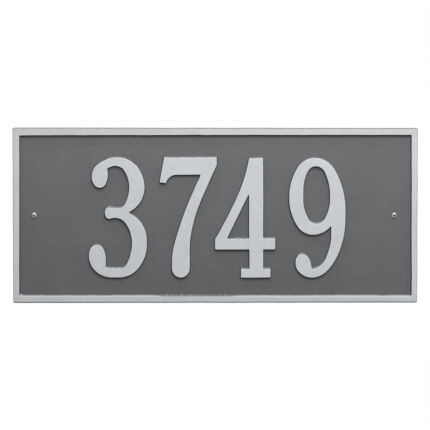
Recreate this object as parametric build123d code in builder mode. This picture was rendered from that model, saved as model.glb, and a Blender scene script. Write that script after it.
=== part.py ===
from build123d import *
import os
from itertools import accumulate

# House number plaque: one aluminium casting with a raised border and raised numerals, and the two
# round-head screws that hold it on a wall. Millimetres. The back of the casting lies on the wall, in the
# plane Y = 0. The numbered face looks along -Y, X runs to the reader's right and Z runs up. The origin is
# the middle of the back.

# Casting
PLAQUE_WIDTH = 406.4
PLAQUE_HEIGHT = 176.0
PLATE_THICKNESS = 6.35
RELIEF = 3.2            # height of the border and the numerals above the field
SIDE_BORDER = 7.0       # upright bars of the border, from the plaque's outline to the field's edge
RAIL_BORDER = 7.65      # top and bottom bars of the border
PLAQUE_CORNER = 1.5     # plan radius at the plaque's corners
FIELD_CORNER = 1.0      # plan radius at the field's corners
OUTER_DRAFT = 4.0       # lean of the outer walls, in degrees, so that the pattern leaves the sand
RELIEF_DRAFT = 6.0      # lean of the border's inner walls and of the numerals' walls, in degrees
EDGE_BEVEL = 0.4        # bevel along every front edge

# Numerals
NUMERAL_HEIGHT = 120.6
NUMERAL_DROP = 1.9      # middle of the numerals below the middle of the plaque
NUMERAL_SHIFT = 2.0     # middle of the number to the right of the middle of the plaque
NUMERAL_GAPS = [12.8, -1.6, 14.0]  # between neighbours: the 4 tucks in under the arm of the 7
CORNER_RADIUS = 0.8     # plan radius at the numerals' outside corners
NOTCH_RADIUS = 0.6      # plan radius at the numerals' inside corners

# Screws
SCREW_INSET = 22.95     # from the plaque's side to the screw
SCREW_SHIFT = -1.0      # the pair of holes to the right of the middle of the plaque
HOLE_DIAMETER = 4.0
HEAD_DIAMETER = 6.1
HEAD_HEIGHT = 2.3
SHANK_DIAMETER = 3.2
SHANK_LENGTH = 31.75
PLAIN_LENGTH = 10.5     # shank without thread, under the head
CORE_DIAMETER = 2.2     # bottom of the thread
RUNOUT_LENGTH = 0.8     # where the shank narrows to the core
POINT_LENGTH = 5.5
RECESS_SPAN = 3.2       # cross recess in the head, from end to end of one slot
RECESS_WIDTH = 0.9
RECESS_DEPTH = 1.3

BACK = Plane.XZ
FIELD = BACK.offset(PLATE_THICKNESS)
FRONT = FIELD.offset(RELIEF)
SCREW_SPACING = PLAQUE_WIDTH - 2 * SCREW_INSET

# The numerals are drawn on a grid, GRID_HEIGHT units high, from the lower left corner of each. A numeral
# is its outline and, in the 4 and the 9, the outline of its eye. An outline is a list of stations
# (x, z, mark), in turn round the shape. A direction as the mark is the way that the outline runs there.
# CORNER and NOTCH mark outside and inside corners.
GRID_HEIGHT = 120
GRID = NUMERAL_HEIGHT / GRID_HEIGHT
RIGHT, UP, LEFT, DOWN = Vector(1, 0), Vector(0, 1), Vector(-1, 0), Vector(0, -1)
CORNER, NOTCH = "corner", "notch"
STRAIGHT = 0.2          # a run that turns by less than this, in degrees, is a line


def slope(angle):
    """Direction at an angle in degrees, from 0 to the right through 90 up."""
    return RIGHT.rotate(Axis.Z, angle)


THREE = [[
    # both bowls, down the right-hand side
    (28.5, 120, RIGHT), (55.2, 89.3, DOWN), (39, 64.7, NOTCH),
    (57.6, 37, DOWN), (57.6, 32.5, DOWN), (29.7, 0, LEFT), (23.2, 0, LEFT),
    # lower ball
    (0, 22.1, UP), (7.7, 33, RIGHT), (16.7, 19.1, DOWN), (16.7, 10.4, NOTCH),
    # inside of the lower bowl
    (24, 9.5, RIGHT), (30.5, 9.5, RIGHT), (42.9, 34.5, UP), (25.7, 59.4, LEFT),
    # knob at the end of the middle bar
    (22.9, 58.9, slope(198)), (20.2, 58.3, LEFT), (15.9, 64.5, UP), (20.2, 70.3, RIGHT),
    (22.4, 70, slope(-15)),
    # inside of the upper bowl
    (24.7, 69.6, RIGHT), (29.7, 69.6, RIGHT), (40.1, 89.7, UP), (26.2, 111.1, LEFT), (18, 107.9, NOTCH),
    # upper ball
    (18.7, 101.7, DOWN), (11, 89.3, LEFT), (2.9, 100.2, UP),
]]

SEVEN = [[
    # bar and the right side of the leg
    (4.7, 120, CORNER), (56.8, 120, CORNER), (56.8, 111.6, CORNER), (42.4, 79.8, slope(246.5)),
    (29.9, 26.1, DOWN),
    # round foot
    (29.9, 9.4, DOWN), (21.1, 0, LEFT), (12.3, 9.4, UP),
    # left side of the leg
    (12.3, 15.5, UP), (26.5, 68.9, slope(68.5)), (41.2, 102.3, NOTCH),
    # underside of the bar and its beak
    (17, 102.3, LEFT), (6.2, 93.8, CORNER), (0, 94.6, CORNER),
]]

FOUR = [[
    # stem, right arm and foot
    (33.9, 119.2, CORNER), (47.8, 119.2, CORNER), (47.8, 39.3, NOTCH), (59.8, 39.3, CORNER),
    (59.8, 28, CORNER), (47.8, 28, NOTCH), (47.8, 9, NOTCH), (55.1, 9, CORNER), (55.1, 0, CORNER),
    (25.8, 0, CORNER), (25.8, 9, CORNER), (34.2, 9, NOTCH), (34.2, 28, NOTCH),
    # cross bar and the long diagonal
    (0, 28, CORNER), (0, 38.2, CORNER), (19.9, 75.6, slope(64.5)),
], [
    # eye
    (33.9, 84, NOTCH), (33.9, 38.9, NOTCH), (11.8, 38.9, NOTCH),
]]

NINE = [[
    # back, from the crown to the tail
    (25.2, 119.4, RIGHT), (55.9, 67.5, DOWN), (55.9, 60, DOWN), (22.7, 0, LEFT),
    # ball of the tail
    (6.6, 15.1, UP), (12.6, 23.8, RIGHT), (21.9, 13.1, slope(276)), (23, 8.9, NOTCH),
    # inside of the tail
    (29.7, 10.9, slope(27)), (41.8, 41, slope(89)), (42.1, 52.1, NOTCH),
    # bowl
    (23.7, 42.6, LEFT), (0, 79.3, UP),
], [
    # eye
    (26.5, 110.7, RIGHT), (40.6, 81.5, DOWN), (40.6, 78, DOWN),
    (27.2, 54, LEFT), (13.9, 78, UP), (13.9, 86.5, UP),
]]

HOUSE_NUMBER = [THREE, SEVEN, FOUR, NINE]


def draw_run(start, end):
    """Draw the outline from one station to the next.

    It is a line where no direction bends it, and one arc where only one end has a direction. Between two
    directions it is two arcs that meet where the outline runs along the chord, so the chord of each arc
    lies half way between the direction at its end and the whole chord. An S-bend between equal directions
    has its arcs meet half way.
    """
    start_point = Vector(start[0], start[1]) * GRID
    end_point = Vector(end[0], end[1]) * GRID
    leaving, arriving = (None if mark in (CORNER, NOTCH) else mark for mark in (start[2], end[2]))
    chord = end_point - start_point
    along = chord.normalized()
    if all(way is None or along.get_angle(way) < STRAIGHT for way in (leaving, arriving)):
        Line(start_point, end_point)
    elif leaving is None:
        TangentArc(end_point, start_point, tangent=-arriving)
    elif arriving is None:
        TangentArc(start_point, end_point, tangent=leaving)
    else:
        first, second = leaving + along, along + arriving
        if first.get_angle(second) < STRAIGHT:
            meeting = (start_point + end_point) / 2
        else:
            meeting = start_point + first * (chord.cross(second).Z / first.cross(second).Z)
        first_arc = TangentArc(start_point, meeting, tangent=leaving)
        TangentArc(meeting, end_point, tangent=first_arc % 1)


def numeral_lefts():
    """Left edge of each numeral, with the whole number centred on NUMERAL_SHIFT."""
    widths = [max(x for x, z, mark in outlines[0]) * GRID for outlines in HOUSE_NUMBER]
    steps = [width + gap for width, gap in zip(widths, NUMERAL_GAPS)]
    return list(accumulate(steps, initial=NUMERAL_SHIFT - (sum(steps) + widths[-1]) / 2))


def cast_numeral(outlines, left):
    """One numeral: its outline and eye on the front plane, and walls that lean out down to the field."""
    grid_corner = FRONT.from_local_coords((left, -NUMERAL_DROP - NUMERAL_HEIGHT / 2, 0))
    with BuildPart() as raised:
        with BuildSketch(Plane(grid_corner, x_dir=FRONT.x_dir, z_dir=FRONT.z_dir)) as shape:
            for outline, mode in zip(outlines, (Mode.ADD, Mode.SUBTRACT)):
                with BuildLine():
                    for start, end in zip(outline, outline[1:] + outline[:1]):
                        draw_run(start, end)
                make_face(mode=mode)
            for sort, radius in ((CORNER, CORNER_RADIUS), (NOTCH, NOTCH_RADIUS)):
                marked = [(x, z) for outline in outlines for x, z, mark in outline if mark == sort]
                points = [Vector(x, z) * GRID for x, z in marked]
                if points:
                    fillet([shape.vertices().sort_by_distance(point)[0] for point in points], radius)
        extrude(amount=-RELIEF)
        draft(raised.faces().filter_by(Axis.Y, reverse=True), FRONT, RELIEF_DRAFT)
    return raised.part


numerals = [cast_numeral(outlines, left) for outlines, left in zip(HOUSE_NUMBER, numeral_lefts())]

# The sunk field inside the border, narrower at its floor
with BuildPart() as recess:
    with BuildSketch(FRONT):
        RectangleRounded(PLAQUE_WIDTH - 2 * SIDE_BORDER, PLAQUE_HEIGHT - 2 * RAIL_BORDER, FIELD_CORNER)
    extrude(amount=-RELIEF)
    draft(recess.faces().filter_by(Axis.Y, reverse=True), FRONT, -RELIEF_DRAFT)

# The casting: plate, field and numerals, bevelled at the front edges, then drilled
with BuildPart() as plaque:
    with BuildSketch(BACK):
        RectangleRounded(PLAQUE_WIDTH, PLAQUE_HEIGHT, PLAQUE_CORNER)
    extrude(amount=PLATE_THICKNESS + RELIEF)
    draft(plaque.faces().filter_by(Axis.Y, reverse=True), BACK, OUTER_DRAFT)
    add(recess.part, mode=Mode.SUBTRACT)
    add(numerals)
    chamfer(plaque.faces().filter_by(Axis.Y).group_by(Axis.Y)[0].edges(), EDGE_BEVEL)
    with BuildSketch(FIELD):
        with Locations((SCREW_SHIFT, 0)):
            with GridLocations(SCREW_SPACING, 0, 2, 1):
                Circle(HOLE_DIAMETER / 2)
    extrude(amount=-PLATE_THICKNESS, mode=Mode.SUBTRACT)

# The screws, their heads seated on the field and their points in the wall
with BuildPart() as mounting_screws:
    for side in (-1, 1):
        seat = FIELD.from_local_coords((SCREW_SHIFT + side * SCREW_SPACING / 2, 0, 0))
        crown = FIELD.offset(HEAD_HEIGHT).from_local_coords((seat.X, 0, 0))
        with BuildSketch(Plane(seat)):
            with BuildLine():
                TangentArc((0, -HEAD_HEIGHT), (HEAD_DIAMETER / 2, 0), tangent=(1, 0))
                Polyline(
                    (HEAD_DIAMETER / 2, 0),
                    (SHANK_DIAMETER / 2, 0),
                    (SHANK_DIAMETER / 2, PLAIN_LENGTH),
                    (CORE_DIAMETER / 2, PLAIN_LENGTH + RUNOUT_LENGTH),
                    (CORE_DIAMETER / 2, SHANK_LENGTH - POINT_LENGTH),
                    (0, SHANK_LENGTH),
                    (0, -HEAD_HEIGHT),
                )
            make_face()
        revolve(axis=Axis(seat, (0, 1, 0)))
        with BuildSketch(Plane(crown, x_dir=FIELD.x_dir, z_dir=FIELD.z_dir)):
            Rectangle(RECESS_SPAN, RECESS_WIDTH)
            Rectangle(RECESS_WIDTH, RECESS_SPAN)
        extrude(amount=-RECESS_DEPTH, mode=Mode.SUBTRACT)

plaque.part.label = "plaque"
mounting_screws.part.label = "mounting_screws"

os.makedirs("parts", exist_ok=True)
export_step(plaque.part, "parts/plaque.step")
export_step(mounting_screws.part, "parts/mounting_screws.step")
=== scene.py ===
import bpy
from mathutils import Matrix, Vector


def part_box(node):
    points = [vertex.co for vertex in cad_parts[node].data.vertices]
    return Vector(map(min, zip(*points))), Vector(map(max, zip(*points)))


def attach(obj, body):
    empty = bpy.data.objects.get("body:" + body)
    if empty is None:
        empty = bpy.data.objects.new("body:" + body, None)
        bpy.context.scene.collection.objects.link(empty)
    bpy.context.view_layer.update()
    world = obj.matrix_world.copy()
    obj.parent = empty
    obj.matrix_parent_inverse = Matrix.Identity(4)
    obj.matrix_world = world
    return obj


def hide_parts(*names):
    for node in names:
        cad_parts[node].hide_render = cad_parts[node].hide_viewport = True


bl_info = {
    "name": "House Number Plaque",
    "version": (1, 0, 0),
    "blender": (4, 5, 0),
    "location": "View3D > Sidebar > Plaque",
    "description": "Dresses the packed house number plaque: painted casting, wall screws and studio",
    "category": "Object",
}

from itertools import product
from math import radians, tan

import bpy
import numpy as np
from bpy.props import FloatProperty, FloatVectorProperty, PointerProperty
from mathutils import Vector
from mathutils.geometry import delaunay_2d_cdt

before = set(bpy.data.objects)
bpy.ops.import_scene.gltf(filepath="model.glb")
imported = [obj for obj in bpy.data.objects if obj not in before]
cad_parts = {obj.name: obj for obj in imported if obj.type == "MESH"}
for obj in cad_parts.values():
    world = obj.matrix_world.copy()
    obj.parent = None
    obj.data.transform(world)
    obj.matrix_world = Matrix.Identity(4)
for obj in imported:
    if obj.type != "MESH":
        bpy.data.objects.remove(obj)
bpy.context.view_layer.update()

# Shapes are worked out in millimetres, in the model's frame: the numbered face looks along -Y, X runs to the
# reader's right, Z runs up, and the back lies on the wall at Y = 0.
MM = 0.001
PLAQUE_LOW, PLAQUE_HIGH = (np.array(corner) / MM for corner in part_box("plaque"))
SCREWS_LOW, SCREWS_HIGH = (np.array(corner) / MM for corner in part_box("mounting_screws"))
FRONT, BACK = PLAQUE_LOW[1], PLAQUE_HIGH[1]

# Outlines and meshes
WELD = 0.001                # points nearer than this are one
FUSE = 1e-6                 # least distance between points of a flat
ALIKE = 2.5                 # neighbouring chords within this ratio of length belong to one bend
BEND_STEP = radians(7)      # most turn between neighbouring columns of a wall
COLUMN_STEP = 2.2           # longest run between them
ROUND_STEPS = 4             # rows of faces round an edge or a fillet
WALL_STEPS = 3              # rows of faces on the straight of a wall
EVEN_STEPS = 8              # steps in the reach of a bell curve
FACE_SPACING = 2.0          # sides of the triangles on the raised faces, on the field and on the back
FIELD_SPACING = 1.8
BACK_SPACING = 6.0
RIM_CELL = 0.62             # cells that keep a flat's grid off its rims, as a share of its spacing
CROSSING_BLOCK = 2000       # points that are tested against a flat's rims at one go
SHARP_EDGE = radians(40)

# Casting: a wall starts to count as an upper one, and fully does, at these upward parts of its normal
UP_FROM, UP_TO = 0.3, 0.9
SAG_REACH = 1.6             # how far the wear of an upper wall runs on along its edge
NOTCH_SHARE = 0.9           # share of the room in a notch that a wall's foot may take
NOTCH_POWER = 4             # how suddenly the foot is held back there
LEDGE = 0.4                 # strip beside a rounded edge that stays as level as the face
LEFT_SHADE_SLANT = 0.85            # share of the bare rim's width that moves from the right edge to the left, as painted shade on the left side
DROOP_POWER = 3             # how soon the droop of the opening ends on the way to the right
DRILL_COLUMNS = 48

# Where the tail of the 9 is cast narrower than its pattern, each as (x, z, reach, to the right, upwards)
TAIL_BENDS = [(82, -50, 9, -0.5, -0.1), (108, -37, 8, -0.65, 0.15), (115, -56, 9, -0.85, 0.75)]

# Unevenness of the casting and of the silver's lap, each as (shortest wave, longest wave, seed)
RIPPLE_WAVES = 7
WANDER_ACROSS = (20, 70, 3)
WANDER_UP = (20, 70, 4)
DISHING = (30, 120, 5)
SAND_RIPPLE = (5, 12, 6)
LAP_RIPPLE = (9, 40, 7)

# Painted shade on the raised walls, darkest on those that look away from the lamps: its share on average,
# and how much less a wall has that looks along (x, y, z)
PAINTED_SHADE_EVEN = 0.6
PAINTED_SHADE_SIDE = np.array([0.1, 0.0, 0.55])
PAINTED_SHADE_STRENGTH = 0.75          # share of the charcoal's lightness that full painted shade takes

# Silver: depths and places at which it ends
FACE_END = (0.02, 0.06)     # depth below a raised face from which its full cover fades, and at which it ends
OUTER_RIM = 2.0             # margin of the plaque over whose edge no silver runs
BARE_DEPTH = 0.6            # depth that is kept for the outer edge, so that the silver stops short of it
LAP_THINNING = 0.6          # share of the lap over upper edges that is lost towards the top of the plaque
LAP_UNEVEN = 0.5            # share by which the lap comes and goes
LAP_FADE = (0.8, 2.2)       # depths, as shares of the lap, from which it fades and at which it ends
LAP_MARGIN = 0.05           # depth by which it fades sooner and ends later
MIST_COVER = 0.42           # cover of the lap where it is an even mist
BLOB_COVER = (0.15, 0.75)   # its cover between blobs and on them
BALD_COVER = (0.25, 0.75)   # its cover on the bottom rail's inner wall, in a bald stretch and beside it
BALD_MIDDLE = -18           # place in x of the bald stretch
BALD_REACH = (30, 42)       # distances from there at which the silver starts to come back, and is back
RUN_EDGE = (0.7, 1.1)       # shares of a run's radius from which it fades and at which it ends
RUN_BEYOND = (0.2, 0.6)     # depths below the field from which runs fade and at which they end

# Spots where silver has run down the inner wall of the bottom rail, as (x, z, radius, cover)
SILVER_RUNS = [
    (-194.2, -79.9, 1.5, 0.9), (-191.6, -80.2, 1.0, 0.8), (-48.4, -79.6, 0.9, 0.5), (-43.8, -79.5, 0.8, 0.4),
    (-33.5, -79.5, 1.0, 0.5), (-25.3, -79.6, 0.9, 0.5), (4.3, -79.5, 0.8, 0.4), (10.3, -79.5, 0.9, 0.5)]

# Places between which the paint changes over, in x for the bars and in z for the rails
BARS, LEFT_BAR = (194, 197), (-197, -194)
RAILS, TOP_RAIL = (77, 79), (76, 80)
LOW_RAIL, LOW_FACE = (-78, -76), (-82, -76)
PAINTED_LIGHT_SPAN = (-90, 90)          # heights over which painted light makes the charcoal lighter towards the top

# Lightness of the paints, with painted light and shade, where 1 is their own colour's
EDGE_HIGHLIGHT = 1.26            # painted highlight on the silver of rounded edges
LOW_RAIL_SHADE = 0.928            # painted shade on the silver of the bottom rail
PAINTED_LIGHT_FALLOFF = (0.905, 1.065)      # charcoal at the bottom and at the top, painted darker and lighter as if lit from above

# Other shares in the paints
LEFT_WORN = 0.5             # worn silver on the left bar
PIT_DEPTH = 0.35            # depth of the casting's pits, as a share of the sand's
NOISE_SPAN = (0.3, 0.7)     # span that most of a noise lies in

# Screws
SCREW_COLUMNS = 64
HEAD_ROWS = 36
THREAD_ROWS = 9             # rows of points in one turn of the thread
FLANK = 0.22                # share of the pitch that one flank of the thread takes
CREST_CUT = 1.15            # height at which its flanks would meet, cut to a flat crest at 1
POINT_CREST = 4             # how late along the point the thread runs out
SLOT_END, SLOT_SIDE = 0.25, 0.2       # width of the slopes at the ends and at the sides of a slot
DRIVEN = (radians(48), radians(84))   # turn at which the left and the right screw came to rest
# Painted shade: the colour of the screws' recesses
RECESS_SHADE = (0.05, 0.048, 0.042, 1.0)

# Studio, in metres
FRAME_CENTRE = (-0.0002, 0.0003)      # the picture's middle on the plaque, in x and z
KEY_PLACE, KEY_SPREAD = Vector((0.27, -1.08, 0.88)), (0.95, 0.95)
STRIP_PLACE, STRIP_SPREAD = Vector((0.0, -0.36, 1.35)), (2.4, 0.12)
FLOOR_RINGS = (0.08, 1.2, 2.4, 4.0)   # radii of its rows of points
FLOOR_FADE = (0.5, 1.6)     # distance from the plaque over which the floor fades into the background
FLOOR_COLUMNS = 96
WHITE = (1.0, 1.0, 1.0, 1.0)


class PlaqueCasting(bpy.types.PropertyGroup):
    relief: FloatProperty(
        name="Relief", description="Height of the border and numerals above the field",
        default=3.2 * MM, min=0.0, precision=5, unit="LENGTH")
    bevel: FloatProperty(
        name="Bevel", description="Width of the CAD model's bevel, from a raised face's outline to its wall",
        default=0.4 * MM, min=0.0, precision=5, unit="LENGTH")
    edge_round: FloatProperty(
        name="Edge round", description="Width that the round takes off the edges of the relief",
        default=0.2 * MM, min=0.0, precision=5, unit="LENGTH")
    root_fillet: FloatProperty(
        name="Root fillet", description="Radius where the raised walls meet the field",
        default=0.2 * MM, min=0.0, precision=5, unit="LENGTH")
    relief_lean: FloatProperty(
        name="Relief lean", description="Lean of the numerals' walls and of the border's inner walls",
        default=radians(10), subtype="ANGLE")
    outer_lean: FloatProperty(
        name="Outer lean", description="Lean of the plaque's outer walls",
        default=radians(4), subtype="ANGLE")
    upper_sag: FloatProperty(
        name="Upper sag", description="How far the top edge of a wall that looks up is worn down the face",
        default=0.9 * MM, min=0.0, precision=5, unit="LENGTH")
    upper_spread: FloatProperty(
        name="Upper spread", description="How far the foot of a wall that looks up stands out",
        default=0.4 * MM, min=0.0, precision=5, unit="LENGTH")
    side_taper: FloatProperty(
        name="Side taper", description="How far each side of the plaque draws in from the top to the bottom",
        default=0.74 * MM, min=0.0, precision=5, unit="LENGTH")
    rail_taper: FloatProperty(
        name="Rail taper", description="How far its top and bottom edges draw in from the left to the right",
        default=0.5 * MM, min=0.0, precision=5, unit="LENGTH")
    window_shift: FloatProperty(
        name="Window shift", description="How far the opening in the border sits to the right",
        default=0.3 * MM, precision=5, unit="LENGTH")
    window_droop: FloatProperty(
        name="Window droop", description="How much lower the opening's upper edge hangs at its left end",
        default=0.5 * MM, precision=5, unit="LENGTH")
    hole_diameter: FloatProperty(
        name="Hole", description="Diameter of the drilled screw holes",
        default=4.0 * MM, min=0.0, precision=5, unit="LENGTH")
    outline_wander: FloatProperty(
        name="Outline wander", description="Most that a cast outline strays sideways",
        default=0.18 * MM, min=0.0, precision=5, unit="LENGTH")
    face_dishing: FloatProperty(
        name="Face dishing", description="Most that the cast front sinks",
        default=0.2 * MM, min=0.0, precision=5, unit="LENGTH")
    field_ripple: FloatProperty(
        name="Field ripple", description="Most that the sand's ripple sinks the field",
        default=0.06 * MM, min=0.0, precision=5, unit="LENGTH")
    # Painted shade: the darkening at the foot of the raised walls fades out over this reach.
    grime_reach: FloatProperty(
        name="Grime reach", description="How far the grime at the foot of the raised walls spreads",
        default=0.5 * MM, min=0.01 * MM, precision=5, unit="LENGTH")
    bare_rim: FloatProperty(
        name="Bare rim", description="Mean width that the silver leaves free along the plaque's outer edge",
        default=0.045 * MM, min=0.01 * MM, precision=5, unit="LENGTH")
    # Painted shade: the bare rim is widened along the bottom, where the outer edge is in shade.
    low_rim: FloatProperty(
        name="Low rim", description="How much wider the bare rim is along the bottom",
        default=0.33 * MM, min=0.0, precision=5, unit="LENGTH")
    silver_lap: FloatProperty(
        name="Silver lap", description="Depth to which the silver on the raised faces runs over upper edges",
        default=1.9 * MM, min=0.0, precision=5, unit="LENGTH")
    silver: FloatVectorProperty(
        name="Silver", description="Colour of the paint on the raised faces",
        default=(0.505, 0.525, 0.545), size=3, min=0.0, max=1.0, subtype="COLOR")
    worn_silver: FloatVectorProperty(
        name="Worn silver", description="Its colour where weathered, on the top rail and the left bar",
        default=(0.491, 0.492, 0.501), size=3, min=0.0, max=1.0, subtype="COLOR")
    charcoal: FloatVectorProperty(
        name="Charcoal", description="Colour of the paint on the field, the walls and the back",
        default=(0.108, 0.109, 0.1135), size=3, min=0.0, max=1.0, subtype="COLOR")


class PlaqueScrews(bpy.types.PropertyGroup):
    head_diameter: FloatProperty(
        name="Head", description="Diameter of the round head",
        default=6.1 * MM, min=0.0, precision=5, unit="LENGTH")
    head_height: FloatProperty(
        name="Head height", description="Height of the round head above the field",
        default=2.3 * MM, min=0.0, precision=5, unit="LENGTH")
    shank_diameter: FloatProperty(
        name="Shank", description="Diameter of the plain shank and of the thread",
        default=3.2 * MM, min=0.0, precision=5, unit="LENGTH")
    core_diameter: FloatProperty(
        name="Core", description="Diameter at the bottom of the thread",
        default=2.2 * MM, min=0.0, precision=5, unit="LENGTH")
    plain_length: FloatProperty(
        name="Plain length", description="Shank without thread, under the head",
        default=10.5 * MM, min=0.0, precision=5, unit="LENGTH")
    thread_pitch: FloatProperty(
        name="Pitch", description="Distance between turns of the thread",
        default=1.4 * MM, min=0.1 * MM, precision=5, unit="LENGTH")
    point_length: FloatProperty(
        name="Point", description="Length of the tapered point",
        default=5.5 * MM, min=0.0, precision=5, unit="LENGTH")
    recess_span: FloatProperty(
        name="Recess span", description="Length of one slot of the cross recess",
        default=3.2 * MM, min=0.0, precision=5, unit="LENGTH")
    recess_width: FloatProperty(
        name="Recess width", description="Width of one slot of the cross recess",
        default=0.9 * MM, min=0.0, precision=5, unit="LENGTH")
    recess_depth: FloatProperty(
        name="Recess depth", description="Depth of the cross recess at its middle",
        default=1.3 * MM, min=0.0, precision=5, unit="LENGTH")
    plating: FloatVectorProperty(
        name="Plating", description="Colour of the dull zinc plating",
        default=(0.46, 0.45, 0.42), size=3, min=0.0, max=1.0, subtype="COLOR")


class PlaqueStudio(bpy.types.PropertyGroup):
    camera_distance: FloatProperty(
        name="Camera distance", description="From the camera to the back of the plaque",
        default=2.5, min=0.1, unit="LENGTH")
    view_width: FloatProperty(
        name="View width", description="Width of the picture at the back of the plaque",
        default=0.4314, min=0.01, precision=4, unit="LENGTH")
    key_power: FloatProperty(
        name="Key power", description="Power of the soft light above and to the right",
        default=18.1, min=0.0, unit="POWER")
    strip_power: FloatProperty(
        name="Strip power", description="Power of the wide, narrow light overhead",
        default=8.1, min=0.0, unit="POWER")
    room_light: FloatProperty(
        name="Room light", description="Strength of the even light from all sides",
        default=0.27, min=0.0)
    floor_drop: FloatProperty(
        name="Floor drop", description="From the middle of the plaque down to the floor",
        default=0.8, min=0.1, unit="LENGTH")
    floor_colour: FloatVectorProperty(
        name="Floor", description="Colour of the pale floor",
        default=(0.62, 0.62, 0.62), size=3, min=0.0, max=1.0, subtype="COLOR")


def in_mm(settings):
    """A group's lengths in millimetres and its other values as they are, by name."""
    values = {}
    for name in settings.__annotations__:
        is_length = settings.bl_rna.properties[name].unit == "LENGTH"
        values[name] = getattr(settings, name) * (1 / MM if is_length else 1)
    return values


def node_triangles(node):
    """Points of a CAD node in millimetres, welded on a fine grid, and its triangles as point numbers."""
    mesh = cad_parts[node].data
    mesh.calc_loop_triangles()
    points = np.empty(3 * len(mesh.vertices), np.float32)
    mesh.vertices.foreach_get("co", points)
    corners = np.empty(3 * len(mesh.loop_triangles), np.int32)
    mesh.loop_triangles.foreach_get("vertices", corners)
    grid = np.round(points.reshape(-1, 3) / MM / WELD).astype(np.int64)
    welded, numbers = np.unique(grid, axis=0, return_inverse=True)
    return welded * WELD, numbers.reshape(-1)[corners].reshape(-1, 3)


def face_outlines(node, level):
    """Closed outlines of a node's flat faces at one level of y, each as its corners (x, z) in turn.

    The side of a triangle that no other triangle has backwards lies on an outline, and leads from one
    corner to the next. Doubling the number of steps again and again finds the lowest number on each corner's
    outline, and then how many steps are left to it, which sorts the corners. The face lies to the left of
    its outlines.
    """
    points, triangles = node_triangles(node)
    triangles = triangles[(np.abs(points[triangles, 1] - level) < 2 * WELD).all(axis=1)]
    start, end = triangles.ravel(), np.roll(triangles, -1, axis=1).ravel()
    lone = ~np.isin(start * len(points) + end, end * len(points) + start)
    start, end = start[lone], end[lone]
    following = np.arange(len(points))
    following[start] = end
    doublings = range(int(np.ceil(np.log2(len(start)))))
    lowest, step = np.arange(len(points)), following
    for _ in doublings:
        lowest = np.minimum(lowest, lowest[step])
        step = step[step]
    is_lowest = lowest == np.arange(len(points))
    steps_left, step = np.where(is_lowest, 0, 1), np.where(is_lowest, lowest, following)
    for _ in doublings:
        steps_left = steps_left + steps_left[step]
        step = step[step]
    loops = [start[lowest[start] == first] for first in np.unique(lowest[start])]
    return [points[loop[np.argsort(-steps_left[loop])]][:, (0, 2)] for loop in loops]


def smooth_outline(corners):
    """A smooth closed line through an outline's corners: its points, and the unit normals to its right.

    Chords of like length that turn into each other belong to one arc, and each takes the share of the turn
    that its length gives it on a circle. A chord between unlike ones is a straight. The tangent at a corner
    is the mean of what its two chords say, by their lengths. Each chord then becomes a cubic between its
    corners' tangents.
    """
    chords = np.roll(corners, -1, axis=0) - corners
    lengths = np.hypot(*chords.T)
    headings = np.arctan2(chords[:, 1], chords[:, 0])
    next_lengths = np.roll(lengths, -1)
    turns = (np.roll(headings, -1) - headings + np.pi) % (2 * np.pi) - np.pi
    alike = np.maximum(lengths, next_lengths) < ALIKE * np.minimum(lengths, next_lengths)
    rates = np.where(alike, 2 * turns / (lengths + next_lengths), 0)
    bends = lengths * (rates + np.roll(rates, 1)) / np.maximum(alike.astype(int) + np.roll(alike, 1), 1)
    leave, arrive = headings - bends / 2, np.roll(headings + bends / 2, 1)
    weight = np.roll(lengths, 1)
    tangents = np.column_stack([
        lengths * np.cos(leave) + weight * np.cos(arrive),
        lengths * np.sin(leave) + weight * np.sin(arrive)])
    tangents /= np.linalg.norm(tangents, axis=1, keepdims=True)
    counts = np.ceil(np.maximum(np.abs(bends) / BEND_STEP, lengths / COLUMN_STEP) + WELD).astype(int)
    chord = np.repeat(np.arange(len(corners)), counts)
    step = np.arange(counts.sum()) - np.repeat(np.cumsum(counts) - counts, counts)
    t = (step / counts[chord])[:, None]
    start, end = corners[chord], np.roll(corners, -1, axis=0)[chord]
    pull_out = tangents[chord] * lengths[chord, None]
    pull_in = np.roll(tangents, -1, axis=0)[chord] * lengths[chord, None]
    blend = 3 * t**2 - 2 * t**3
    line = (1 - blend) * start + blend * end + t * (1 - t) * ((1 - t) * pull_out - t * pull_in)
    slope = 6 * t * (1 - t) * (end - start)
    slope += (1 - 4 * t + 3 * t**2) * pull_out + (3 * t**2 - 2 * t) * pull_in
    slope /= np.linalg.norm(slope, axis=1, keepdims=True)
    return line, np.column_stack([slope[:, 1], -slope[:, 0]])


def wall_section(bevel, edge_round, lean, drop, fillet):
    """Section of a wall from the raised face down, as rows (distance out from the CAD model's bevel, depth).

    A quarter round leaves the face level and meets the wall, which leans out as it drops. Where there is a
    fillet, a second round leaves the wall and ends level.
    """
    radius = edge_round / tan((np.pi / 2 - lean) / 2)
    turn = np.linspace(0, np.pi / 2 - lean, ROUND_STEPS + 1)
    edge = [bevel - edge_round, 0] + radius * np.column_stack([np.sin(turn), 1 - np.cos(turn)])
    foot_depth = drop - fillet * (1 - np.sin(lean))
    foot = np.array([bevel + foot_depth * tan(lean), foot_depth])
    straight = np.linspace(edge[-1], foot, WALL_STEPS + 1)[1:]
    if not fillet:
        return np.vstack([edge, straight])
    turn = np.linspace(lean, np.pi / 2, ROUND_STEPS + 1)[1:]
    root = foot + fillet * np.column_stack([np.cos(lean) - np.cos(turn), np.sin(turn) - np.sin(lean)])
    return np.vstack([edge, straight, root])


def even_out(line, values, reach):
    """Values along a closed line, each the mean of its neighbours by a bell curve that is reach wide.

    The line is cut into even steps, and there the bell curve damps each wave of the values by its length.
    """
    travel = np.append(0, np.cumsum(np.linalg.norm(np.roll(line, -1, axis=0) - line, axis=1)))
    even = np.linspace(0, travel[-1], int(EVEN_STEPS * travel[-1] / reach) + 2)
    waves = np.fft.rfft(np.interp(even, travel, np.append(values, values[0]))[:-1])
    waves *= np.exp(-2 * (np.pi * reach * np.fft.rfftfreq(len(even) - 1, even[1])) ** 2)
    smooth = np.fft.irfft(waves, len(even) - 1)
    return np.interp(travel[:-1], even, np.append(smooth, smooth[0]))


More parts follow.
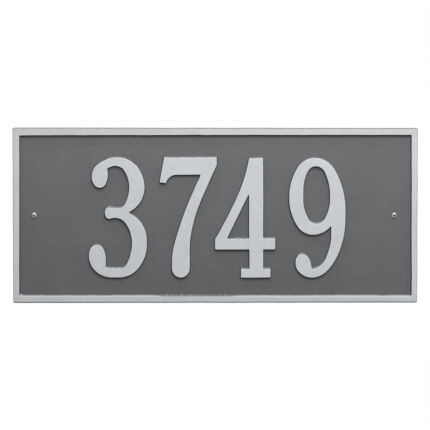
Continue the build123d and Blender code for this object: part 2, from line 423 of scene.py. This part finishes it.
def room_beside(line, aside):
    """Room to the right of each point of a closed line: the radius of the largest circle touching there.

    A circle that touches one point and runs through another has the square of their distance, over twice how
    far the other lies ahead along the first one's normal, as its radius. The least over all points counts.
    """
    gaps = line - line[:, None]
    distance = (gaps * aside[:, None]).sum(axis=2)
    ahead = distance > FUSE
    radii = (gaps**2).sum(axis=2) / np.where(ahead, 2 * distance, FUSE)
    return radii.min(axis=1, where=ahead, initial=np.inf)


def upper_share(up):
    """How much a surface counts as an upper wall, from 0 to 1, by the upward part of its normal."""
    return np.clip((up - UP_FROM) / (UP_TO - UP_FROM), 0, 1)


def circle(centre, diameter, columns):
    """Points (x, z) round a circle, clockwise for the reader, so that the hole is on the right."""
    turn = -np.linspace(0, 2 * np.pi, columns, endpoint=False)
    return centre + diameter / 2 * np.column_stack([np.cos(turn), np.sin(turn)])


def are_inside(points, loops):
    """Which points lie inside the loops: a line to the right crosses them an odd number of times."""
    near = np.vstack(loops)
    far = np.vstack([np.roll(loop, -1, axis=0) for loop in loops])
    rise = far[:, 1] - near[:, 1]
    run = (far[:, 0] - near[:, 0]) / np.where(rise == 0, 1, rise)
    odd = []
    for block in np.array_split(points, len(points) // CROSSING_BLOCK + 1):
        x, z = block[:, :1], block[:, 1:]
        crossed = ((near[:, 1] > z) != (far[:, 1] > z)) & (x < near[:, 0] + (z - near[:, 1]) * run)
        odd.append(crossed.sum(axis=1) % 2 == 1)
    return np.concatenate(odd)


def grid_inside(loops, spacing):
    """Points of a triangular grid that lie inside the loops and about a spacing away from them."""
    rim = np.vstack(loops)
    low, high = rim.min(axis=0), rim.max(axis=0)
    x, z = np.meshgrid(
        np.arange(low[0], high[0], spacing), np.arange(low[1], high[1], spacing * np.sqrt(3) / 2))
    x[::2] += spacing / 2
    grid = np.column_stack([x.ravel(), z.ravel()])
    cell = spacing * RIM_CELL
    taken = np.zeros(np.ceil((high - low + spacing) / cell).astype(int) + 3, bool)
    for shift in product((0, 1, 2), repeat=2):
        taken[tuple((((rim - low) / cell).astype(int) + shift).T)] = True
    grid = grid[~taken[tuple((((grid - low) / cell).astype(int) + 1).T)]]
    return grid[are_inside(grid, loops)]


def ripples(x, z, shortest, longest, seed):
    """Uneven height from -1 to 1: the mean of plane waves of seeded directions, lengths and phases."""
    draw = np.random.default_rng(seed)
    heading, phase = draw.uniform(0, 2 * np.pi, (2, RIPPLE_WAVES))
    length = shortest * (longest / shortest) ** draw.uniform(0, 1, RIPPLE_WAVES)
    travel = x[:, None] * np.cos(heading) + z[:, None] * np.sin(heading)
    return np.sin(2 * np.pi * travel / length + phase).mean(axis=1)


class Shell:
    """Points and faces of one closed surface, gathered band by band and flat by flat."""

    def __init__(self):
        self.points = np.empty((0, 3))
        self.quads, self.triangles = [], []

    def add_points(self, x, y, z):
        """Take in points, and give back their numbers in the same shape."""
        grid = np.stack(np.broadcast_arrays(x, y, z), axis=-1)
        numbers = len(self.points) + np.arange(grid[..., 0].size).reshape(grid.shape[:-1])
        self.points = np.vstack([self.points, grid.reshape(-1, 3)])
        return numbers

    def add_band(self, rows):
        """Four-sided faces between neighbouring rows of numbers, each row a closed loop."""
        ahead = np.roll(rows, -1, axis=1)
        self.quads.append(np.stack([rows[:-1], rows[1:], ahead[1:], ahead[:-1]], axis=-1).reshape(-1, 4))

    def add_wall(self, corners, section, sag=0.0, spread=0.0):
        """Carry a section, rows (distance out, depth), along the right of an outline; give back its rows.

        Where the wall looks up, its top edge sags down the face and its foot stands out, and the rows
        between them move in proportion to their depth. In a notch the rows stop short of the wall opposite.
        """
        line, aside = smooth_outline(corners)
        out, depth = section[:, :1], section[:, 1:]
        looks_up = even_out(line, upper_share(aside[:, 1]), SAG_REACH)
        low = depth / depth[-1]
        out = out + spread * looks_up * low
        crowding = out / (NOTCH_SHARE * room_beside(line, aside))
        out = out / (1 + crowding**NOTCH_POWER) ** (1 / NOTCH_POWER)
        rows = self.add_points(
            line[:, 0] + out * aside[:, 0], FRONT + depth,
            line[:, 1] + out * aside[:, 1] - sag * looks_up * (1 - low))
        self.add_band(rows)
        return rows

    def add_fan(self, centre, rim):
        """Triangles between a centre and the sides of a closed loop of numbers."""
        self.triangles.append(np.column_stack([np.full(len(rim), centre), rim, np.roll(rim, -1)]))

    def add_flat(self, rims, spacing, facing_back=False):
        """Triangles between rims of numbers at one level, on a grid that is fitted to the rims."""
        loops = [self.points[rim][:, (0, 2)] for rim in rims]
        inner = grid_inside(loops, spacing)
        level = self.points[rims[0][0], 1]
        numbers = np.concatenate([*rims, self.add_points(inner[:, 0], level, inner[:, 1])])
        starts = np.cumsum([0] + [len(rim) for rim in rims[:-1]])
        sides = [np.arange(len(rim)) + start for rim, start in zip(rims, starts)]
        edges = np.vstack([np.column_stack([side, np.roll(side, -1)]) for side in sides])
        flat = np.vstack([*loops, inner])
        corners = [Vector(point) for point in flat.tolist()]
        points, _, faces, origins, *_ = delaunay_2d_cdt(corners, edges.tolist(), [], 0, FUSE)
        if len(points) != len(corners):
            raise RuntimeError(f"a flat's {len(corners)} points became {len(points)}")
        faces = np.array([origin[0] for origin in origins])[np.array(faces)]
        on_rims = (faces < len(edges)).all(axis=1)
        keep = ~on_rims
        keep[on_rims] = are_inside(flat[faces[on_rims]].mean(axis=1), loops)
        faces = numbers[faces[keep]]
        self.triangles.append(faces[:, ::-1] if facing_back else faces)

    def make_mesh(self, name):
        """The surface as a smooth-shaded mesh in metres, with its true edges sharp."""
        faces = [face for group in (*self.quads, *self.triangles) for face in group.tolist()]
        mesh = bpy.data.meshes.new(name)
        mesh.from_pydata((self.points * MM).tolist(), [], faces)
        if mesh.validate(verbose=True):
            raise RuntimeError(f"the mesh of {name} has faulty faces")
        mesh.shade_smooth()
        mesh.set_sharp_from_angle(angle=SHARP_EDGE)
        return mesh


def store(mesh, name, values):
    """Keep one number per point on a mesh, for its material to read."""
    mesh.attributes.new(name, "FLOAT", "POINT").data.foreach_set("value", values.astype(np.float32))


def add_piece(mesh, material, node):
    """Put a finished mesh in the scene on the plaque's body, in place of its CAD node."""
    mesh.materials.append(material)
    piece = bpy.data.objects.new(mesh.name, mesh)
    bpy.context.scene.collection.objects.link(piece)
    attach(piece, "root")
    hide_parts(node)


class Finish:
    """Nodes of a material or a world: each call adds one, fills its inputs and gives back an output."""

    def __init__(self, owner):
        owner.use_nodes = True
        self.owner, self.tree = owner, owner.node_tree
        self.tree.nodes.clear()

    def add(self, kind, inputs=None, output=0, **settings):
        """One node with its settings, and with an output of another node or a value on each input named."""
        node = self.tree.nodes.new("ShaderNode" + kind)
        for name, value in settings.items():
            setattr(node, name, value)
        for socket, value in (inputs or {}).items():
            if isinstance(value, bpy.types.NodeSocket):
                self.tree.links.new(value, node.inputs[socket])
            else:
                node.inputs[socket].default_value = value
        return node.outputs[output]

    def place(self):
        """Position on the piece, in metres."""
        return self.add("TexCoord", output="Object")

    def along(self, place, axis):
        """A position's part along one axis."""
        return self.add("SeparateXYZ", {0: place}, output=axis)

    def attribute(self, name):
        """A number kept on the mesh."""
        return self.add("Attribute", output="Fac", attribute_name=name)

    def noise(self, place, size, detail=2.0, stretch=(1, 1, 1)):
        """Soft noise from about 0 to 1 whose spots are about size millimetres, longer where stretched."""
        scale = [1 / (size * MM * long) for long in stretch]
        scaled = self.add("Mapping", {"Vector": place, "Scale": scale})
        return self.add("TexNoise", {"Vector": scaled, "Scale": 1.0, "Detail": detail, "Roughness": 0.55})

    def math(self, operation, *values):
        """Outcome of one operation."""
        return self.add("Math", dict(enumerate(values)), operation=operation)

    def times(self, first, *others):
        """Product of several values."""
        for other in others:
            first = self.math("MULTIPLY", first, other)
        return first

    def spread(self, value, span, onto=(0.0, 1.0)):
        """Ease a value from one span onto another, and stop at its ends."""
        ends = {"From Min": span[0], "From Max": span[1], "To Min": onto[0], "To Max": onto[1]}
        return self.add("MapRange", {"Value": value, **ends}, interpolation_type="SMOOTHSTEP")

    def change(self, distance, span, onto=(0.0, 1.0)):
        """Ease from one amount to another between two distances in millimetres."""
        return self.spread(distance, [end * MM for end in span], onto)

    def waver(self, noise, share, span=NOISE_SPAN):
        """An amount around 1 that follows a noise down and up by a share."""
        return self.spread(noise, span, (1 - share, 1 + share))

    def mix(self, share, first, second):
        """Number between two numbers."""
        return self.add("Mix", {0: share, 2: first, 3: second}, data_type="FLOAT")

    def blend(self, share, first, second):
        """Colour between two colours."""
        return self.add("Mix", {0: share, 6: first, 7: second}, output=2, data_type="RGBA")

    def tint(self, colour, amount):
        """A colour made lighter or darker by an amount around 1."""
        return self.add("VectorMath", {0: colour, "Scale": amount}, operation="SCALE")

    def bump(self, height, reach, normal=None):
        """Surface normal bent by a height from 0 to 1 that stands for reach millimetres."""
        inputs = {"Height": height, "Distance": reach * MM, "Strength": 1.0}
        if normal is not None:
            inputs["Normal"] = normal
        return self.add("Bump", inputs)

    def seen(self):
        """1 for what the camera sees, in gloss and through glass too, and 0 for light on its way."""
        rays = self.tree.nodes.new("ShaderNodeLightPath").outputs
        mirrored = self.math("MAXIMUM", rays["Is Glossy Ray"], rays["Is Transmission Ray"])
        return self.math("MAXIMUM", rays["Is Camera Ray"], mirrored)

    def close(self, shader, kind="Material"):
        """End the material or the world with a shader."""
        self.tree.links.new(shader, self.tree.nodes.new("ShaderNodeOutput" + kind).inputs["Surface"])
        return self.owner


def silver_cover(finish, place, relief):
    """Share of silver over the charcoal: full on raised faces, a ragged lap below upper edges, and the runs.

    The lap fades with the depth below the face. It is blobs in some stretches and an even mist in others,
    and the bottom rail's inner wall has a bald stretch. A run fades with the distance from its own middle.
    """
    across, up = finish.along(place, "X"), finish.along(place, "Z")
    depth, lap = finish.attribute("depth"), finish.attribute("lap")
    lap_fades = finish.math("MULTIPLY_ADD", lap, LAP_FADE[0], -LAP_MARGIN)
    lap_ends = finish.math("MULTIPLY_ADD", lap, LAP_FADE[1], LAP_MARGIN)
    lapped = finish.spread(depth, (lap_fades, lap_ends), (1.0, 0.0))
    blobs = finish.spread(finish.noise(place, size=4.0, stretch=(1, 0.3, 1)), (0.48, 0.57), BLOB_COVER)
    ragged = finish.spread(finish.noise(place, size=45), (0.48, 0.56))
    from_bald = finish.math("ABSOLUTE", finish.math("ADD", across, -BALD_MIDDLE * MM))
    balding = finish.change(from_bald, BALD_REACH, BALD_COVER)
    low_rail = finish.change(up, LOW_RAIL, (1.0, 0.0))
    mist = finish.mix(low_rail, finish.mix(ragged, MIST_COVER, blobs), balding)
    raised = finish.spread(depth, FACE_END, (1.0, 0.0))
    cover = finish.math("MAXIMUM", raised, finish.times(mist, lapped))
    front = finish.add("CombineXYZ", {"X": across, "Z": up})
    ahead = finish.spread(depth, [relief + beyond for beyond in RUN_BEYOND], (1.0, 0.0))
    for x, z, radius, share in SILVER_RUNS:
        middle = (x * MM, 0, z * MM)
        away = finish.add("VectorMath", {0: front, 1: middle}, output="Value", operation="DISTANCE")
        run = finish.change(away, [edge * radius for edge in RUN_EDGE], (share, 0.0))
        cover = finish.math("MAXIMUM", cover, finish.times(run, ahead))
    return cover


def roller_strokes(finish, place):
    """Marks that the roller left in the silver: along the rails and the bars, in dabs on the numerals."""
    dabs = finish.noise(place, size=2.2, stretch=(1, 1, 2))
    rail_strokes = finish.noise(place, size=1.3, stretch=(40, 1, 1))
    bar_strokes = finish.noise(place, size=1.3, stretch=(1, 1, 40))
    on_rails = finish.change(finish.math("ABSOLUTE", finish.along(place, "Z")), RAILS)
    on_bars = finish.change(finish.math("ABSOLUTE", finish.along(place, "X")), BARS)
    return finish.mix(on_bars, finish.mix(on_rails, dabs, rail_strokes), bar_strokes)


def silver_paint(finish, place, strokes, fresh, worn):
    """Silver with roller marks, flakes and clouds, a painted highlight on rounded edges and painted shade on
    the bottom rail.
    """
    up = finish.along(place, "Z")
    rolled = finish.waver(strokes, share=0.025)
    flakes = finish.waver(finish.noise(place, size=0.5, detail=1.0), share=0.025)
    clouds = finish.waver(finish.noise(place, size=17), share=0.02)
    # Painted highlight: the silver is made lighter on the rounded edges.
    edge_highlight = finish.spread(finish.attribute("rim"), (0.0, 1.0), (1.0, EDGE_HIGHLIGHT))
    # Painted shade: the silver of the bottom rail is made darker, as light falls from above.
    shaded_low_rail = finish.change(up, LOW_FACE, (LOW_RAIL_SHADE, 1.0))
    top_rail = finish.change(up, TOP_RAIL)
    left_bar = finish.change(finish.along(place, "X"), LEFT_BAR, (LEFT_WORN, 0.0))
    tone = finish.blend(finish.math("MAXIMUM", top_rail, left_bar), (*fresh, 1.0), (*worn, 1.0))
    return finish.tint(tone, finish.times(rolled, clouds, flakes, edge_highlight, shaded_low_rail))


def charcoal_paint(finish, place, colour):
    """Charcoal with blotches and speckle. Painted light makes it lighter towards the top and darker towards
    the bottom, and painted shade darkens it at the raised walls.
    """
    blotches = finish.waver(finish.noise(place, size=28, detail=3.0), share=0.035)
    speckle = finish.waver(finish.noise(place, size=0.9, detail=3.0), share=0.07, span=(0.25, 0.75))
    # Painted light: the charcoal lighter towards the top and darker towards the bottom.
    painted_light_falloff = finish.change(finish.along(place, "Z"), PAINTED_LIGHT_SPAN, PAINTED_LIGHT_FALLOFF)
    # Painted shade: the raised walls that look away from the lamps lose part of the charcoal's lightness.
    unshaded = finish.math("MULTIPLY_ADD", finish.attribute("grime"), -PAINTED_SHADE_STRENGTH, 1.0)
    return finish.tint((*colour,), finish.times(blotches, speckle, painted_light_falloff, unshaded))


def paint_casting(settings):
    """Two satin paints on cast aluminium: silver rolled on the raised faces, charcoal everywhere else."""
    finish = Finish(bpy.data.materials.new("casting_paint"))
    place = finish.place()
    silvered = silver_cover(finish, place, settings["relief"])
    strokes = roller_strokes(finish, place)
    silver = silver_paint(finish, place, strokes, settings["silver"], settings["worn_silver"])
    charcoal = charcoal_paint(finish, place, settings["charcoal"])
    sand = finish.noise(place, size=0.8, detail=4.0)
    pits = finish.spread(finish.noise(place, size=2.6), (0.62, 0.72), (1.0, 0.0))
    cast = finish.bump(finish.math("MULTIPLY_ADD", pits, PIT_DEPTH, sand), reach=0.05)
    brushed = finish.bump(strokes, reach=0.012, normal=finish.bump(sand, reach=0.02))
    satin = finish.spread(silvered, (0.0, 1.0), (0.55, 0.45))
    worn = finish.spread(sand, NOISE_SPAN, (-0.05, 0.05))
    return finish.close(finish.add("BsdfPrincipled", {
        "Base Color": finish.blend(silvered, charcoal, silver),
        "Roughness": finish.math("ADD", satin, worn),
        "Metallic": finish.math("MULTIPLY", silvered, 0.25),
        "Normal": finish.add("Mix", {0: silvered, 4: cast, 5: brushed}, output=1, data_type="VECTOR"),
        "Specular IOR Level": 0.35,
    }))


def plate_screws(settings):
    """Dull zinc plating with a fine unevenness, and painted shade in the recess, where it is darker, duller
    and less metallic.
    """
    finish = Finish(bpy.data.materials.new("screw_plating"))
    grime = finish.attribute("grime")
    dull = finish.noise(finish.place(), size=0.6, detail=3.0)
    plating = finish.tint((*settings["plating"],), finish.waver(dull, share=0.12))
    satin = finish.spread(dull, NOISE_SPAN, (0.36, 0.46))
    return finish.close(finish.add("BsdfPrincipled", {
        "Base Color": finish.blend(grime, plating, RECESS_SHADE),
        "Metallic": finish.spread(grime, (0.0, 1.0), (0.9, 0.3)),
        "Roughness": finish.math("MULTIPLY_ADD", grime, 0.3, satin),
        "Normal": finish.bump(dull, reach=0.01),
    }))


def border_wall(shell, corners, size):
    """Outer wall of the plaque, out of true as it was cast; give back its rows.

    A bare rim runs round the front. It is widened along the bottom and on the left as painted shade, on the
    sides that the lamps leave in shade. The sides draw in towards the bottom, and the top and bottom edges
    towards the right, each in proportion to its place on the plaque.
    """
    section = wall_section(size["bevel"], size["bevel"], size["outer_lean"], BACK - FRONT, 0)
    rows = shell.add_wall(corners, np.vstack([[-size["bare_rim"], 0], section]))
    aside = (shell.points[rows[1]] - shell.points[rows[0]]) / size["bare_rim"]
    # Painted shade: the bare rim widens along the bottom and on the left, the sides in shade.
    shade_widening = size["low_rim"] * np.maximum(-aside[:, 2:], 0) - LEFT_SHADE_SLANT * size["bare_rim"] * aside[:, :1]
    shell.points[rows[0]] -= shade_widening * aside
    x, z = (shell.points[rows, axis] / PLAQUE_HIGH[axis] for axis in (0, 2))
    shell.points[rows, 0] -= size["side_taper"] * x * (1 - z) / 2
    shell.points[rows, 2] -= size["rail_taper"] * z * (1 + x) / 2
    return rows


def relief_walls(shell, outlines, size):
    """Walls from the raised faces to the field, the opening of the border first; give back their rows.

    A level strip goes before each wall and another one, over which the painted shade fades out, after it.
    The opening moves to the right, and its upper edge droops by a power of the distance from its right end.
    """
    section = wall_section(
        size["bevel"], size["edge_round"], size["relief_lean"], size["relief"], size["root_fillet"])
    section = np.vstack([section[0] - [LEDGE, 0], section, section[-1] + [size["grime_reach"], 0]])
    wear = size["upper_sag"], size["upper_spread"]
    walls = [shell.add_wall(corners, section, *wear) for corners in outlines]
    opening = walls[0]
    shell.points[opening, 0] += size["window_shift"]
    x, z = (shell.points[opening, axis] / PLAQUE_HIGH[axis] for axis in (0, 2))
    shell.points[opening, 2] -= size["window_droop"] * np.maximum(z, 0) * ((1 - x) / 2) ** DROOP_POWER
    return walls


def hole_walls(shell, size):
    """Walls of the drilled holes, each a tube from the field to the back; give back their rows."""
    walls = []
    levels = np.array([[FRONT + size["relief"]], [BACK]])
    for corners in face_outlines("plaque", BACK):
        if np.ptp(corners[:, 0]) < 2 * size["hole_diameter"]:
            middle = (corners.min(axis=0) + corners.max(axis=0)) / 2
            rim = circle(middle, size["hole_diameter"], DRILL_COLUMNS)
            walls.append(shell.add_points(rim[:, 0], levels, rim[:, 1]))
            shell.add_band(walls[-1])
    return walls


def make_uneven(shell, size):
    """Bend a finished casting as its mould did, and sink its front a little; its box stays as it is.

    Ripples shift the points sideways, and bell curves draw in the tail of the 9. The whole is then stretched
    to the plaque's box. Long ripples dish the front and short ones the field, both fading towards the back.
    """
    x, y, z = shell.points.T.copy()
    shell.points[:, 0] += size["outline_wander"] * ripples(x, z, *WANDER_ACROSS)
    shell.points[:, 2] += size["outline_wander"] * ripples(x, z, *WANDER_UP)
    for middle_x, middle_z, reach, right, up in TAIL_BENDS:
        share = np.exp(-((x - middle_x) ** 2 + (z - middle_z) ** 2) / (2 * reach**2))
        shell.points += share[:, None] * [right, 0, up]
    low, high = shell.points.min(axis=0), shell.points.max(axis=0)
    shell.points = PLAQUE_LOW + (shell.points - low) * (PLAQUE_HIGH - PLAQUE_LOW) / (high - low)
    dish = size["face_dishing"] * (1 + ripples(x, z, *DISHING)) / 2
    sunk = np.clip((y - FRONT) / size["relief"], 0, 1)
    ripple = size["field_ripple"] * sunk * (1 + ripples(x, z, *SAND_RIPPLE)) / 2
    ahead = (BACK - y) / (BACK - FRONT)
    shell.points[:, 1] = np.minimum(y + ahead * (dish + ripple), BACK)


def lap_depths(mesh, points, x, z):
    """Depth of the silver's lap at each point, as a share of the full lap.

    It grows with how far the surface looks up, and there is none at the plaque's outer rim. Ripples make it
    come and go, and it thins towards the top.
    """
    normals = np.empty(3 * len(mesh.vertices), np.float32)
    mesh.vertex_normals.foreach_get("vector", normals)
    within = (PLAQUE_HIGH - np.abs(points))[:, (0, 2)].min(axis=1) > OUTER_RIM
    thinned = LAP_THINNING * np.clip(z / PLAQUE_HIGH[2], 0, 1)
    return upper_share(normals[2::3]) * within * (1 + LAP_UNEVEN * ripples(x, z, *LAP_RIPPLE) - thinned)


class PLAQUE_OT_cast(bpy.types.Operator):
    """Make the casting from the CAD model's outlines, with round edges and faces as uneven as cast ones"""
    bl_idname = "plaque.cast"
    bl_label = "Casting"

    def execute(self, context):
        size = in_mm(context.scene.plaque_casting)
        shell = Shell()
        outlines = sorted(face_outlines("plaque", FRONT), key=lambda corners: -np.ptp(corners[:, 0]))
        outer = border_wall(shell, outlines[0], size)
        inner = relief_walls(shell, outlines[1:], size)
        holes = hole_walls(shell, size)
        shell.add_flat([outer[0], *(rows[0] for rows in inner)], FACE_SPACING)
        shell.add_flat([*(rows[-1] for rows in inner), *(rows[0] for rows in holes)], FIELD_SPACING)
        shell.add_flat([outer[-1], *(rows[-1] for rows in holes)], BACK_SPACING, facing_back=True)
        x, y, z = shell.points.T.copy()
        make_uneven(shell, size)
        mesh = shell.make_mesh("casting")

        depth, rim, grime = y - FRONT, np.zeros(len(y)), np.zeros(len(y))
        depth[outer[1:3]] = BARE_DEPTH
        for rows in inner:
            aside = shell.points[rows[-1]] - shell.points[rows[0]]
            aside /= np.hypot(aside[:, 0], aside[:, 2])[:, None]
            # Rounded edges are marked for the silver's painted highlight.
            rim[rows[1:ROUND_STEPS + 2]] = 1
            # Painted shade on the walls, more on those that look down and to the left, away from the lamps.
            grime[rows[2:-1]] = np.clip(PAINTED_SHADE_EVEN - aside @ PAINTED_SHADE_SIDE, 0, 1)
        store(mesh, "grime", grime)
        store(mesh, "depth", depth)
        store(mesh, "lap", size["silver_lap"] * lap_depths(mesh, shell.points, x, z))
        store(mesh, "rim", rim)
        add_piece(mesh, paint_casting(size), "plaque")
        return {"FINISHED"}


def round_crown(size, seat):
    """Crown of the round head in rows: their radii, their levels and the levels of the recess's floor.

    The crown is the part of a ball that stands on the head's rim, and the floor is a cone.
    """
    head, height = size["head_diameter"] / 2, size["head_height"]
    ball = (head**2 + height**2) / (2 * height)
    lean = np.linspace(0, np.arcsin(head / ball), HEAD_ROWS + 1)[1:, None]
    radius = ball * np.sin(lean)
    floor = seat - height + size["recess_depth"] * (1 - radius / size["recess_span"])
    return radius, seat - height + ball * (1 - np.cos(lean)), floor


def cross_recess(size, radius, bearing):
    """Share of the recess's depth on the crown: 1 in two slots that cross, 0 beyond them, and eased between.

    A slot slopes at its ends and its sides, and where the two slots overlap the deeper one counts.
    """
    axes = radius * np.sin(bearing), radius * np.cos(bearing)
    share = np.zeros(axes[0].shape)
    for along, across in (axes, axes[::-1]):
        from_end = np.clip((size["recess_span"] / 2 - np.abs(along)) / SLOT_END, 0, 1)
        from_side = np.clip((size["recess_width"] / 2 - np.abs(across)) / SLOT_SIDE + 0.5, 0, 1)
        share = np.maximum(share, from_end * from_side)
    return share * share * (3 - 2 * share)


def wound_thread(size, start, tip, turn):
    """Thread from the plain shank to the tip: its radii in rows and columns, and the level of each row.

    The root narrows from the shank to the core over the first turn, and tapers to the tip along the point. A
    ridge winds round it, one turn to a pitch, with sloping flanks and a flat crest as wide as the shank.
    """
    shank, core, pitch = size["shank_diameter"] / 2, size["core_diameter"] / 2, size["thread_pitch"]
    steps = int((tip - start) / pitch * THREAD_ROWS)
    level = np.linspace(start, tip, steps + 1)[1:-1, None]
    begun = np.clip((level - start) / pitch, 0, 1)
    taper = np.clip((tip - level) / size["point_length"], 0, 1)
    phase = (level / pitch + turn / (2 * np.pi)) % 1
    crest = np.clip(CREST_CUT - np.abs(phase - 0.5) / FLANK, 0, 1) * np.minimum(1, POINT_CREST * taper)
    root = (shank + (core - shank) * begun) * taper
    return root + (shank * np.sqrt(taper) - root) * crest, level


class PLAQUE_OT_screws(bpy.types.Operator):
    """Make the two round-head screws, with their cross recesses and threads"""
    bl_idname = "plaque.screws"
    bl_label = "Wall screws"

    def execute(self, context):
        size = in_mm(context.scene.plaque_screws)
        head, shank = size["head_diameter"] / 2, size["shank_diameter"] / 2
        seat = FRONT + context.scene.plaque_casting.relief / MM
        thread_start, tip = seat + size["plain_length"], SCREWS_HIGH[1]
        turn = np.linspace(0, 2 * np.pi, SCREW_COLUMNS, endpoint=False)
        crown_radius, crown_level, floor = round_crown(size, seat)
        thread_radius, thread_level = wound_thread(size, thread_start, tip, turn)
        crown_radius = np.broadcast_to(crown_radius, (HEAD_ROWS, SCREW_COLUMNS))
        radius = np.vstack([crown_radius, np.full((2, SCREW_COLUMNS), shank), thread_radius])
        below = np.vstack([[seat], [thread_start], thread_level])
        below = np.broadcast_to(below, (len(below), SCREW_COLUMNS))

        shell, grime = Shell(), []
        for middle, driven in zip((SCREWS_LOW[0] + head, SCREWS_HIGH[0] - head), DRIVEN):
            recess = cross_recess(size, crown_radius, turn - driven)
            level = np.vstack([crown_level + recess * np.maximum(floor - crown_level, 0), below])
            rows = shell.add_points(middle + radius * np.cos(turn), level, radius * np.sin(turn))
            shell.add_band(rows)
            crown = shell.add_points(middle, seat - size["head_height"] + size["recess_depth"], 0.0)
            point = shell.add_points(middle, tip, 0.0)
            shell.add_fan(crown, rows[0])
            shell.add_fan(point, rows[-1][::-1])
            # The recess and the crown's middle point get painted shade.
            grime += [recess.ravel(), np.zeros(radius.size - recess.size), [1.0, 0.0]]
        mesh = shell.make_mesh("wall_screws")
        store(mesh, "grime", np.concatenate(grime))
        add_piece(mesh, plate_screws(size), "mounting_screws")
        return {"FINISHED"}


def floor_finish(colour):
    """Pale matt floor that fades into the white background with the distance from the plaque."""
    finish = Finish(bpy.data.materials.new("pale_floor"))
    place = finish.place()
    away = finish.add("VectorMath", {0: place}, output="Value", operation="LENGTH")
    grain = finish.spread(finish.noise(place, size=40), NOISE_SPAN, (0.985, 1.0))
    matt = finish.add("BsdfDiffuse", {"Color": finish.tint((*colour,), grain)})
    white = finish.add("Emission", {"Color": WHITE, "Strength": 1.0})
    fade = finish.times(finish.seen(), finish.spread(away, FLOOR_FADE))
    return finish.close(finish.add("MixShader", {0: fade, 1: matt, 2: white}))


def white_room(room_light):
    """World that lights evenly at the room's strength, and is white wherever it is seen."""
    finish = Finish(bpy.data.worlds.new("studio"))
    strength = finish.spread(finish.seen(), (0.0, 1.0), (room_light, 1.0))
    return finish.close(finish.add("Background", {"Color": WHITE, "Strength": strength}), "World")


def hang_lamp(name, shape, place, spread, power):
    """Put up a soft lamp that looks at the middle of the plaque."""
    lamp = bpy.data.lights.new(name, "AREA")
    lamp.shape, lamp.energy = shape, power
    lamp.size, lamp.size_y = spread
    stand = bpy.data.objects.new(name, lamp)
    stand.location = place
    stand.rotation_euler = (-place).to_track_quat("-Z", "Y").to_euler()
    bpy.context.scene.collection.objects.link(stand)


class PLAQUE_OT_studio(bpy.types.Operator):
    """Set up the floor, the lights and the camera"""
    bl_idname = "plaque.studio"
    bl_label = "Studio"

    def execute(self, context):
        scene, settings = context.scene, context.scene.plaque_studio
        shell = Shell()
        rings = np.array(FLOOR_RINGS)[:, None] / MM
        turn = np.linspace(0, 2 * np.pi, FLOOR_COLUMNS, endpoint=False)
        drop = -settings.floor_drop / MM
        rows = shell.add_points(rings * np.cos(turn), rings * np.sin(turn), drop)
        shell.add_band(rows)
        shell.add_fan(shell.add_points(0.0, 0.0, drop), rows[0])
        mesh = shell.make_mesh("floor")
        mesh.materials.append(floor_finish(settings.floor_colour))
        floor = bpy.data.objects.new("floor", mesh)
        scene.collection.objects.link(floor)

        scene.world = white_room(settings.room_light)
        hang_lamp("key", "DISK", KEY_PLACE, KEY_SPREAD, settings.key_power)
        hang_lamp("strip", "RECTANGLE", STRIP_PLACE, STRIP_SPREAD, settings.strip_power)

        lens = bpy.data.cameras.new("camera")
        lens.sensor_fit = "HORIZONTAL"
        lens.lens = lens.sensor_width * settings.camera_distance / settings.view_width
        camera = bpy.data.objects.new("camera", lens)
        camera.location = (FRAME_CENTRE[0], -settings.camera_distance, FRAME_CENTRE[1])
        camera.rotation_euler = Vector((0, 1, 0)).to_track_quat("-Z", "Y").to_euler()
        scene.collection.objects.link(camera)
        scene.camera = camera
        scene.view_settings.view_transform = "Standard"
        return {"FINISHED"}


class PLAQUE_PT_sidebar(bpy.types.Panel):
    """The plaque's pieces and their settings"""
    bl_label = "House number plaque"
    bl_space_type = "VIEW_3D"
    bl_region_type = "UI"
    bl_category = "Plaque"

    def draw(self, context):
        for operator, group in STEPS:
            box = self.layout.box()
            box.operator(operator.bl_idname)
            settings = getattr(context.scene, group)
            for name in settings.__annotations__:
                box.prop(settings, name)


STEPS = [
    (PLAQUE_OT_cast, "plaque_casting"),
    (PLAQUE_OT_screws, "plaque_screws"),
    (PLAQUE_OT_studio, "plaque_studio"),
]
GROUPS = {"plaque_casting": PlaqueCasting, "plaque_screws": PlaqueScrews, "plaque_studio": PlaqueStudio}
CLASSES = [*GROUPS.values(), *(operator for operator, group in STEPS), PLAQUE_PT_sidebar]


def register():
    for kind in CLASSES:
        bpy.utils.register_class(kind)
    for name, group in GROUPS.items():
        setattr(bpy.types.Scene, name, PointerProperty(type=group))


def unregister():
    for name in GROUPS:
        delattr(bpy.types.Scene, name)
    for kind in reversed(CLASSES):
        bpy.utils.unregister_class(kind)


def main():
    register()
    bpy.ops.plaque.cast()
    bpy.ops.plaque.screws()
    bpy.ops.plaque.studio()


if __name__ == "__main__":
    main()
